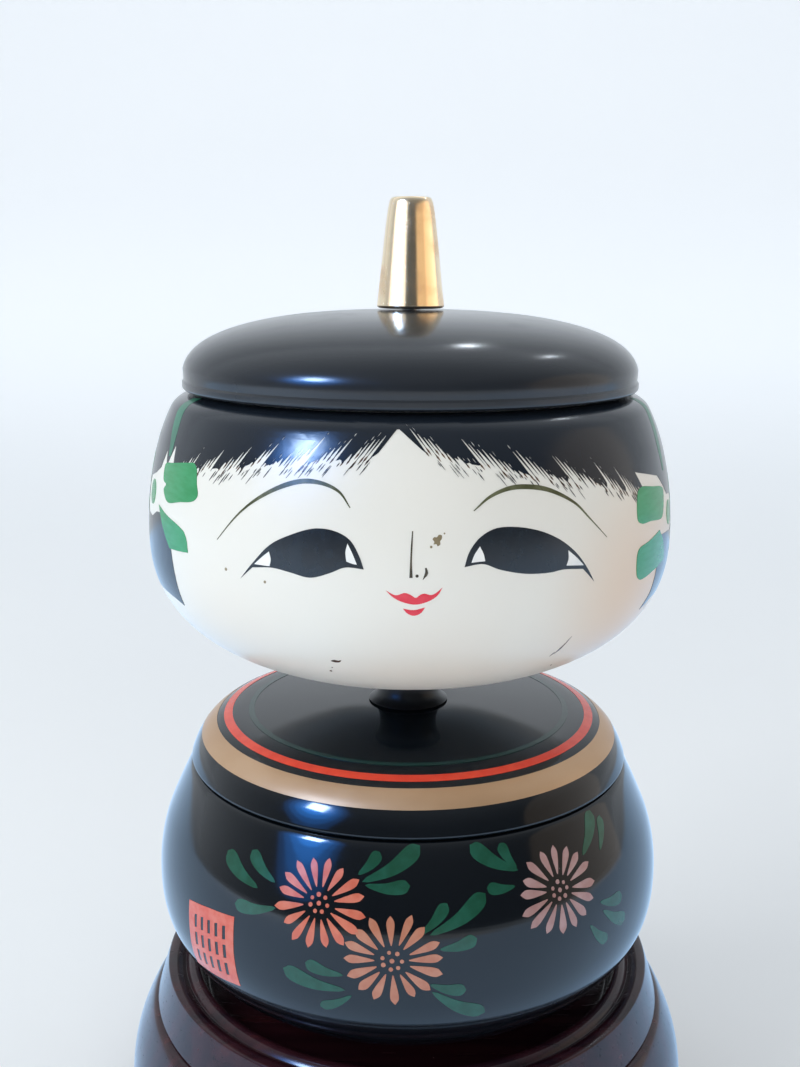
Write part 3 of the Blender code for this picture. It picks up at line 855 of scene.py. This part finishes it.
# %% [markdown]
# ## The painted hair
# The hair is black from the rim down to a fringe. The fringe is dry brush work: the
# painter pulled the brush down and outwards from the parting, one short press after
# another. Each press starts full and runs dry, so ivory shows between its last
# bristles in slanted, pointed slits, and the tips of the strokes thin out to brown.
# One long jagged line round the head draws it. At the sides a bow is tied, and the
# hair leaves a gap round its knot, then falls in a lock to the edge of the bob.

# %% the fringe
random.seed(7)
SLANT = radians(38)
SLIT_DEPTH = 4.6         # how high the deepest ivory slit runs up from the fringe's foot
FRINGE_DROP = 4.3        # how far the fringe's foot lies below the tops of the slits


def fringe(start, end, tops, towards):
    """The jagged edge of the hair between two places round the head.

    The tops are the heights of the slits, and towards is 1 where they lean right, -1 left.
    """
    lean = Vector((towards * sin(SLANT), cos(SLANT)))
    edge, slits, wisps = [], [], []
    place = press_start = press_end = start
    while place < end:
        if place >= press_end:
            press_start, press_end = place, place + random.uniform(4.0, 8.5)
        dry = (place - press_start) / (press_end - press_start)
        if towards < 0:
            dry = 1 - dry
        top = height_at(tops, place)
        depth = min(1, max(0.03, dry ** 1.3 + random.uniform(-0.20, 0.14)))
        width = random.uniform(0.30, 0.55) + 0.45 * dry * random.random()
        foot = Vector((place, top - FRINGE_DROP))
        edge.append(foot + lean * random.uniform(-0.9, 0.3 + 2.2 * dry))
        notch = foot + Vector((width / 2, 0)) + lean * (SLIT_DEPTH / cos(SLANT)) * depth
        edge.append(notch + Vector((-0.07, 0)))
        edge.append(notch + Vector((0.05, 0)))
        if random.random() < 0.5:
            start_slit = notch + lean * 0.5
            slits.append(stroke([start_slit, start_slit + lean * random.uniform(0.5, 1.4)],
                                [0.02, random.uniform(0.08, 0.18), 0.02]))
        for _ in range(random.choice((0, 1, 1, 2))):
            low = foot + Vector((random.uniform(0, width), 0)) - lean * random.uniform(0.1, 1.4)
            wisps.append(stroke([low, low - lean * random.uniform(0.5, 2.6)],
                                [0.02, random.uniform(0.05, 0.20), 0.02]))
        place += width + random.uniform(0.08, 0.22) + 0.5 * (1 - dry) * random.random()
    return edge, slits, wisps


def height_at(heights, place):
    """Read a height off a list of (place, height) points."""
    for (p, a), (q, b) in pairwise(heights):
        if p <= place <= q:
            return a + (b - a) * (place - p) / (q - p)
    return heights[-1][1]


left_tops = [(-56, 19.5), (-46.2, 19.4), (-37.2, 20.6), (-21.8, 22.8), (-8.9, 24.3), (-5.3, 24.9)]
right_tops = [(1.7, 25.2), (6.6, 23.9), (15.4, 22.4), (24.7, 20.2), (35.7, 18.2), (46, 15.6), (56, 15)]
left_edge, left_slits, left_wisps = fringe(-50, -6.2, left_tops, 1)
right_edge, right_slits, right_wisps = fringe(2.9, 49, right_tops, -1)
parting = [(-5.6, 21.1), (-2.6, 25.0), (-2.2, 25.0), (1.7, 21.6)]
print(len(left_edge) + len(right_edge), "points along the fringe")

# %% the rest of the hair
BACK = pi * PER_RADIAN   # half way round
left_side = [
    (-BACK, -10.2), (-120, -10.0), (-90, -9.6), (-70, -9.2), (-58, -8.6), (-51.6, -8.9), (-48.0, -9.6),
    (-48.4, -4.0), (-49.3, 0.6), (-52.0, 4.0), (-55.0, 6.3), (-57.5, 6.0), (-61.0, 4.6), (-66.5, 4.6),
    (-68.2, 6.2), (-68.0, 9.6), (-66.5, 11.2), (-61.0, 12.6), (-57.8, 14.0),
]
right_side = [
    (55.5, 13.2), (61.3, 9.0), (66.5, 8.4), (68.2, 6.6), (67.8, 3.0), (65.5, 1.6), (61.0, 2.2),
    (54.7, 2.6), (53.9, -1.0), (53.8, -4.0), (53.6, -8.0), (51.6, -11.0), (56.0, -9.8), (70, -9.2),
    (90, -9.6), (120, -10.0), (BACK, -10.2),
]
hair_top = head_side.rise_where(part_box("hair_lid")[1].x - 2.9 * MM) / MM
spikes_left = [(-55.8, 17.6), (-54.6, 14.6), (-52.0, 18.9), (-51.2, 15.2)]
hair_edge = left_side + spikes_left + left_edge + parting + right_edge + right_side
hair_edge += [(BACK, hair_top), (-BACK, hair_top)]
hair_sheet = [[hair_edge] + left_slits + right_slits] + left_wisps + right_wisps
paint("painted_hair", hair_sheet, ON_HEAD, hair_lacquer_painted_sheen, 0.06, weld=True)

# %% brown tips
tips = []
for edge, lean in ((left_edge, 1), (right_edge, -1)):
    way = Vector((lean * sin(SLANT), cos(SLANT)))
    for tip in edge[::3]:
        if random.random() < 0.6:
            end = tip - way * random.uniform(0.3, 1.3)
            tips.append(stroke([tip + way * 0.7, end], [0.05, 0.3, 0.03]))
paint("thin_brush_tips", tips, ON_HEAD, thin_black, 0.035)

# %% [markdown]
# ## The bows
# Each side has a green bow: two loops in front of the knot, a broad one above and a
# narrower one below, and their partners behind it, which the front view hides. Above
# each bow a dull green streak runs up over the hair to the rim. The loops behind are
# the front ones mirrored about the knot.

# %% bows
LEFT_KNOT, RIGHT_KNOT = (-61.6, 9.0), (62.6, 5.4)


def mirrored(shape, middle):
    """The same shape on the other side of a line that stands at this place."""
    return [(2 * middle - x, y) for x, y in reversed(shape)]


left_upper = [
    (-55.4, 14.7), (-54.8, 15.2), (-52.0, 15.6), (-46.0, 16.4), (-43.4, 16.6), (-42.4, 15.9),
    (-41.6, 13.4), (-40.9, 11.4), (-41.9, 10.4), (-46.5, 9.5), (-51.4, 8.7), (-52.9, 9.3),
    (-54.1, 10.7), (-53.2, 11.6), (-54.9, 12.2),
]
left_lower = [
    (-56.2, 7.5), (-56.2, 7.5), (-52.0, 6.5), (-46.9, 5.5), (-44.4, 4.6), (-43.4, 3.2), (-43.2, 2.2),
    (-43.0, 1.3), (-43.0, 1.3), (-46.2, 1.0), (-49.9, 0.8), (-49.9, 0.8), (-52.9, 3.6),
]
right_upper = [
    (45.7, 11.9), (47.0, 12.4), (52.0, 11.8), (57.4, 10.9), (58.4, 10.2), (57.9, 7.9), (56.7, 5.9),
    (55.4, 5.5), (50.0, 6.0), (46.0, 6.2), (44.8, 7.0), (44.8, 9.4), (45.3, 11.3),
]
right_lower = [
    (44.6, 1.2), (45.3, 2.0), (49.0, 2.6), (54.5, 3.6), (54.5, 3.6), (57.4, 0.6), (58.6, -2.6),
    (58.6, -2.6), (55.0, -3.0), (51.6, -3.3), (47.9, -3.8), (46.0, -3.7), (44.9, -2.8), (44.4, -0.6),
]
knots = [dot(place, 2.3, 14) for place in (LEFT_KNOT, RIGHT_KNOT)]
front_loops = [drawn(shape) for shape in (left_upper, left_lower, right_upper, right_lower)]
back_loops = [drawn(mirrored(shape, LEFT_KNOT[0])) for shape in (left_upper, left_lower)]
back_loops += [drawn(mirrored(shape, RIGHT_KNOT[0])) for shape in (right_upper, right_lower)]
paint("ribbon_bows", front_loops + back_loops + knots, ON_HEAD, ribbon_green, 0.08)
# a dull green streak on each side, from above the bow up over the hair to the rim
side_streaks = [
    stroke([(-57.4, 28.6), (-56.6, 25.0), (-54.6, 20.0), (-53.8, 16.6)], [3.6, 4.0, 3.0, 1.2]),
    stroke([(64.6, 28.0), (62.9, 22.6), (61.2, 18.0), (60.6, 13.4)], [3.2, 3.6, 2.8, 1.0]),
]
paint("green_side_streaks", side_streaks, ON_HEAD, side_streak_green, 0.085)

# %% [markdown]
# ## The face
# The eyes are long almonds of black ink that run out into fine lash lines, with a
# white corner at each end. The brows are single strokes that swell and thin out. The
# nose is one short line with a dot and a curl beside it, and the mouth is two small
# red shapes. Each colour is one shell.

# %% brows and eyes
brows = [
    stroke([(-34.9, 4.9), (-30, 10), (-26.1, 12.9), (-21.5, 15.2), (-17.9, 16.1), (-14.35, 15.8),
            (-11.7, 14.6), (-9.9, 12.3)], [0.10, 0.22, 0.38, 0.62, 0.80, 0.78, 0.52, 0.15]),
    stroke([(10, 11.9), (12.8, 14), (16.35, 15.2), (20, 15.2), (23.7, 14.4), (28.6, 11.9), (31.6, 9.1),
            (35.5, 5.5)], [0.15, 0.52, 0.78, 0.80, 0.62, 0.38, 0.22, 0.10]),
]
paint("brows", brows, ON_HEAD, brow_ink)

left_eye = [
    (-29.6, -0.9), (-29.6, -0.9), (-27.1, 1.95), (-23.6, 5.45), (-20, 7.35), (-15.6, 8.75),
    (-12.2, 8.5), (-9.8, 7.25), (-8.3, 4.9), (-7.5, 2.7), (-7.5, 2.7), (-10.5, 2.85), (-13, 1.8),
    (-16.35, 0.8), (-19.9, 1.35), (-23.2, 1.75), (-27.0, 1.35), (-27.0, 1.35),
]
right_eye = [
    (32.6, -1.6), (32.6, -1.6), (30.4, 1.55), (28.15, 4.05), (25.1, 6.35), (21.3, 8.1), (16.9, 9.05),
    (13.4, 8.95), (10.9, 7.65), (9.2, 5.5), (8.4, 3.1), (8.4, 3.1), (11.4, 3.45), (14.2, 2.4),
    (18.6, 1.4), (23.2, 1.15), (25.7, 1.35), (29.9, 0.95), (29.9, 0.95),
]
left_outer_white = [
    (-26.6, 1.95), (-26.6, 1.95), (-25.2, 3.2), (-23.75, 4.35), (-23.75, 4.35), (-23.4, 3.1),
    (-23.6, 1.95), (-23.6, 1.95),
]
left_inner_white = [
    (-10.15, 6.7), (-10.15, 6.7), (-9.3, 5.05), (-8.6, 3.4), (-8.6, 3.4), (-9.5, 3.55), (-10.3, 3.85),
    (-10.3, 3.85), (-10.45, 5.3),
]
right_inner_white = [
    (9.5, 3.75), (9.5, 3.75), (10.0, 5.0), (10.9, 6.3), (10.9, 6.3), (11.5, 5.0), (11.75, 3.9),
    (11.75, 3.9), (10.6, 3.85),
]
right_outer_white = [
    (26.75, 4.4), (26.75, 4.4), (28.5, 3.0), (30.0, 1.55), (30.0, 1.55), (28.2, 1.75), (26.35, 1.95),
    (26.35, 1.95), (26.75, 3.0),
]
whites = [drawn(s) for s in (left_outer_white, left_inner_white, right_inner_white, right_outer_white)]
paint("eyes", [drawn(left_eye), drawn(right_eye)], ON_HEAD, ink)
paint("eye_whites", whites, ON_HEAD, eye_white, 0.075)

# %% nose and mouth
nose = [
    stroke([(0.15, 8.9), (-0.05, 4.4), (-0.05, 1.5)], [0.16, 0.26, 0.30, 0.52]),
    dot((0.9, 1.8), 0.26),
    stroke([(2.25, 3.1), (2.4, 2.3), (1.8, 1.2)], [0.25, 0.55, 0.05]),
]
paint("nose", nose, ON_HEAD, nose_ink)
upper_lip = [
    (-4.0, -0.6), (-4.0, -0.6), (-2.4, -1.35), (-1.05, -0.95), (-0.2, -1.2), (0.75, -1.75),
    (1.35, -1.3), (2.05, -1.05), (3.15, -1.3), (4.0, -0.9), (4.9, -0.1), (4.9, -0.1), (4.3, -1.2),
    (3.45, -1.95), (1.85, -2.65), (0.4, -2.85), (-1.65, -2.35), (-2.9, -1.65),
]
lower_lip = [
    (-1.3, -3.55), (-1.3, -3.55), (0.4, -3.8), (2.2, -3.35), (2.2, -3.35), (1.55, -4.3), (0.4, -4.75),
    (-0.6, -4.35),
]
paint("lips", [drawn(upper_lip), drawn(lower_lip)], ON_HEAD, lip_red)

# %% [markdown]
# ## Marks of age
# The ivory has a few chips where the dark wood shows, a scratch on one cheek and a
# brown blot beside the nose. They are small, and they make the piece an old one.

# %% chips and a scratch
chips = [
    drawn([(-14.6, -15.3), (-13.9, -14.9), (-13.1, -15.0), (-12.5, -14.8), (-12.9, -15.4), (-13.7, -15.6)]),
    dot((-15.6, -18.8), 0.28, 7), dot((31.2, -20.6), 0.22, 6), dot((-14.9, -17.4), 0.16, 6),
    stroke([(28.4, -15.8), (29.2, -14.2), (30.3, -11.7)], [0.05, 0.45, 0.25, 0.05]),
    stroke([(27.6, -16.4), (28.3, -15.2)], [0.05, 0.3, 0.05]),
]
paint("chips", chips, ON_HEAD, thin_black, 0.02)
blots = [
    drawn([(3.3, 7.6), (3.6, 7.95), (4.0, 7.9), (4.3, 8.3), (4.8, 8.2), (4.75, 7.6), (4.5, 7.3), (4.55, 6.8),
           (4.1, 6.5), (3.9, 6.85), (3.45, 6.8), (3.6, 7.2)]),
    dot((3.1, 6.4), 0.22, 7), dot((-32.8, 0.2), 0.3, 7), dot((-24.6, -0.8), 0.26, 7),
    dot((5.2, 8.5), 0.16, 6),
]
paint("blots", blots, ON_HEAD, blot_brown, 0.02)

# %% [markdown]
# ## Flowers and leaves
# Three daisies are scattered over the body's front. A petal is one press of a pointed brush:
# narrow at the middle, broadest near its end, and pointed. A leaf is a longer press
# that starts round and broad and is pulled away in a curve to a thin end.

# %% flowers
SPREAD = 1.12            # the flowers are a little wider than tall
PRESS = (0.36, 0.55, 0.74, 0.90, 1, 0.86)       # how a petal widens from its root to its point
SEEDS = 7                # dots in the ring at the middle of a flower


def petal(centre, angle, inner, outer, width):
    """One press of the brush, outwards from the middle of a flower."""
    way = Vector((cos(angle) * SPREAD, sin(angle)))
    widths = [0.16, *(share * width for share in PRESS), 0.04]
    return stroke([centre + way * inner, centre + way * outer], widths)


def flower(name, azimuth, rise, radius, petals, start, finish):
    """A daisy: a ring of petals round a dot with a ring of dots."""
    centre = Vector((radians(azimuth) * PER_RADIAN, rise))
    shapes = []
    for i in range(petals):
        angle = radians(start) + 2 * pi * (i + random.uniform(-0.10, 0.10)) / petals
        shapes.append(petal(centre, angle, radius * random.uniform(0.32, 0.37),
                            radius * random.uniform(0.93, 1.06), radius * random.uniform(0.18, 0.215)))
    shapes.append(dot(centre, 0.42))
    for i in range(SEEDS):
        angle = radians(start + 14) + 2 * pi * (i + random.uniform(-0.1, 0.1)) / SEEDS
        way = Vector((cos(angle) * SPREAD, sin(angle)))
        shapes.append(dot(centre + way * radius * 0.19, random.uniform(0.34, 0.44)))
    return paint(name, shapes, ON_BODY, finish)


flower("salmon_flower", -18.6, 12.0, 7.6, 16, 82, salmon)
flower("clay_flower", -3.25, 3.6, 7.9, 16, 93, clay)
flower("mauve_flower", 33.2, 11.8, 7.7, 16, 85, mauve)

# %% leaves
LEAF_STEPS = 14
BLUNT_END = 0.2          # share of a leaf's length in which it rounds out to its full width
CLOSING = 0.94           # from this share of its length on, its thin end closes


def leaf(start, end, width):
    """A leaf from its broad end to its thin end, both as (azimuth, rise), bowed downwards."""
    broad, thin = (Vector((radians(azimuth) * PER_RADIAN, rise)) for azimuth, rise in (start, end))
    along = thin - broad
    bow = Vector((-along.y, along.x)) * 0.055
    if bow.y > 0:
        bow = -bow
    middle = broad.lerp(thin, 0.5) + bow
    widths = []
    for i in range(LEAF_STEPS + 1):
        t = i / LEAF_STEPS
        blunt = (1 - (1 - min(t / BLUNT_END, 1)) ** 2) ** 0.5
        close = max(1 - max((t - CLOSING) / 0.06, 0) ** 2, 0) ** 0.5
        widths.append(width * blunt * (1 - 0.80 * max((t - 0.25) / 0.75, 0) ** 1.15) * close)
    return stroke([broad, middle, thin], widths, 0.35)


leaves = [
    ((-44.1, 15.9), (-33.2, 11.9), 3.0), ((-37.1, 17.7), (-29.3, 13.7), 2.5),
    ((-38.4, 7.9), (-28, 9.6), 2.4), ((-6.5, 21.5), (-10.9, 17.5), 2.3),
    ((2.4, 22.7), (-9.9, 16.4), 3.1), ((0.2, 16.1), (-9.2, 15.9), 2.4), ((7.7, 13.1), (2.2, 8.1), 2.2),
    ((15.9, 14.1), (4.1, 8.0), 3.0), ((13.4, 6.9), (6.0, 5.5), 2.3),
    ((-25.5, -0.6), (-12.4, -2.5), 3.0), ((-20.6, 1.5), (-12.8, 0.3), 2.3),
    ((-17.8, -6.7), (-11.1, -3.4), 2.0), ((11.2, -2.2), (4.1, -0.7), 2.3),
    ((15.4, -7.5), (4.5, -2.1), 2.9), ((13.7, 22.3), (24, 16.9), 3.0),
    ((20.8, 21.9), (23.8, 17.3), 2.2), ((16.4, 14.9), (22.7, 14.4), 2.1),
    ((49, 22.4), (41.8, 15.9), 3.0), ((51.7, 20.7), (47.7, 15.2), 2.2), ((51.6, 5.5), (43.7, 6.8), 2.4),
    ((52.5, 0.7), (44.3, 5.1), 2.6), ((45.6, -1.1), (40, 3.7), 2.2),
]
paint("leaves", [leaf(*each) for each in leaves], ON_BODY, leaf_green, 0.045)

# %% [markdown]
# ## A plain red panel
# A square of red sits low on the left of the body. It carries only a plain lattice of
# crossed bars here, cut through to the black lacquer below.

# %% lattice panel
def panel_point(across, up):
    """A place on the leaning panel, from 0 to 1 each way."""
    low = Vector((-46.9, -9.9)).lerp(Vector((-32.6, -8.2)), across)
    high = Vector((-46.6, 3.7)).lerp(Vector((-33.2, 5.5)), across)
    return low.lerp(high, up)


border = ((0, 0), (0.5, -0.012), (1, 0), (0.985, 0.5), (1, 1), (0.5, 1.012), (0, 1), (0.015, 0.5))
panel_line = drawn([tuple(panel_point(*place)) for place in border for _ in range(2)], 1.0)
openings = []
for column in range(5):
    for row in range(3):
        left, low = 0.13 + column * 0.155, 0.12 + row * 0.265
        openings.append([
            panel_point(left + dx, low + dy)
            for dx, dy in ((0.03, 0), (0.09, 0.01), (0.09, 0.20), (0.03, 0.19))
        ])
paint("lattice_panel", [[panel_line] + openings], ON_BODY, seal_red)

# %% [markdown]
# ## Rings on the shoulder
# While the shoulder lid turned on the lathe, the brush was held still against it: that
# is how a turner paints a perfect ring. Each ring is a short stretch of the lid's own
# outline, lifted by a hair and spun.

# %% painted rings
RING_LIFT = 0.06
RING_STEPS = 8


def painted_ring(name, inner, outer, finish):
    """A ring of paint on the shoulder lid between two radii, in millimetres."""
    high, low = (shoulder_side.rise_where(radius * MM) for radius in (inner, outer))
    rises = [low + (high - low) * i / RING_STEPS for i in range(RING_STEPS + 1)]
    places = [shoulder_side.at(rise) for rise in rises]
    top = [place + out * RING_LIFT * MM for place, out in places]
    under = [place - out * ROOT * MM for place, out in reversed(places)]
    shape = spun(top + under, True, TURNS)
    return finished(shape, name, finish, "shoulder", PAINT_CORNER)


painted_ring("green_ring", 31.0, 32.1, band_green)
painted_ring("red_ring", 35.3, 37.0, band_red)
painted_ring("gold_ring", 38.4, 41.4, band_gold)

# %% [markdown]
# ## The floor
# A plain pale floor carries the doll's shadow and throws light back up into the
# lacquer. It runs far behind the doll and rises in a gentle curve, so that the front
# view shows no edge. The far part glows a little, as a wall with its own lamps would.

# %% floor
floor_finish, shader, place = start_finish("pale floor", {"Specular IOR Level": 0.05})
shade = cloud(place, 4, 3)
place.feed(shader.inputs["Base Color"], tint(shade, (0.87, 0.885, 0.90, 1), (0.84, 0.86, 0.88, 1)))
place.feed(shader.inputs["Roughness"], 0.55 + shade * 0.1)
far = fade(parts(place)[1], 0.0, 2.0)
place.feed(shader.inputs["Emission Color"], tint(far, (0.03, 0.028, 0.022, 1), (0.42, 0.45, 0.485, 1)))
shader.inputs["Emission Strength"].default_value = 1.0
HALF_FLOOR = 4           # metres from the doll to the floor's left and right ends
sweep = bmesh.new()
sweep_line = (
    (-4, 0), (-0.6, 0), (0.3, 0), (0.7, 0), (1.1, 0), (1.7, 0.06), (2.1, 0.25), (2.4, 0.7), (2.5, 3.5),
)
edge = [sweep.verts.new((-HALF_FLOOR, y, z)) for y, z in sweep_line]
strip = bmesh.ops.extrude_edge_only(sweep, edges=[sweep.edges.new(pair) for pair in pairwise(edge)])
far_edge = [g for g in strip["geom"] if isinstance(g, bmesh.types.BMVert)]
bmesh.ops.translate(sweep, vec=(2 * HALF_FLOOR, 0, 0), verts=far_edge)
bmesh.ops.recalc_face_normals(sweep, faces=sweep.faces)
floor_mesh = bpy.data.meshes.new("floor")
sweep.to_mesh(floor_mesh)
sweep.free()
floor_mesh.shade_smooth()
floor_mesh.materials.append(floor_finish)
floor_piece = bpy.data.objects.new("floor", floor_mesh)
floor_bend = floor_piece.modifiers.new("smooth bend", "SUBSURF")
floor_bend.levels = floor_bend.render_levels = 2
bpy.context.scene.collection.objects.link(floor_piece)
print("floor of", len(floor_mesh.polygons), "faces")
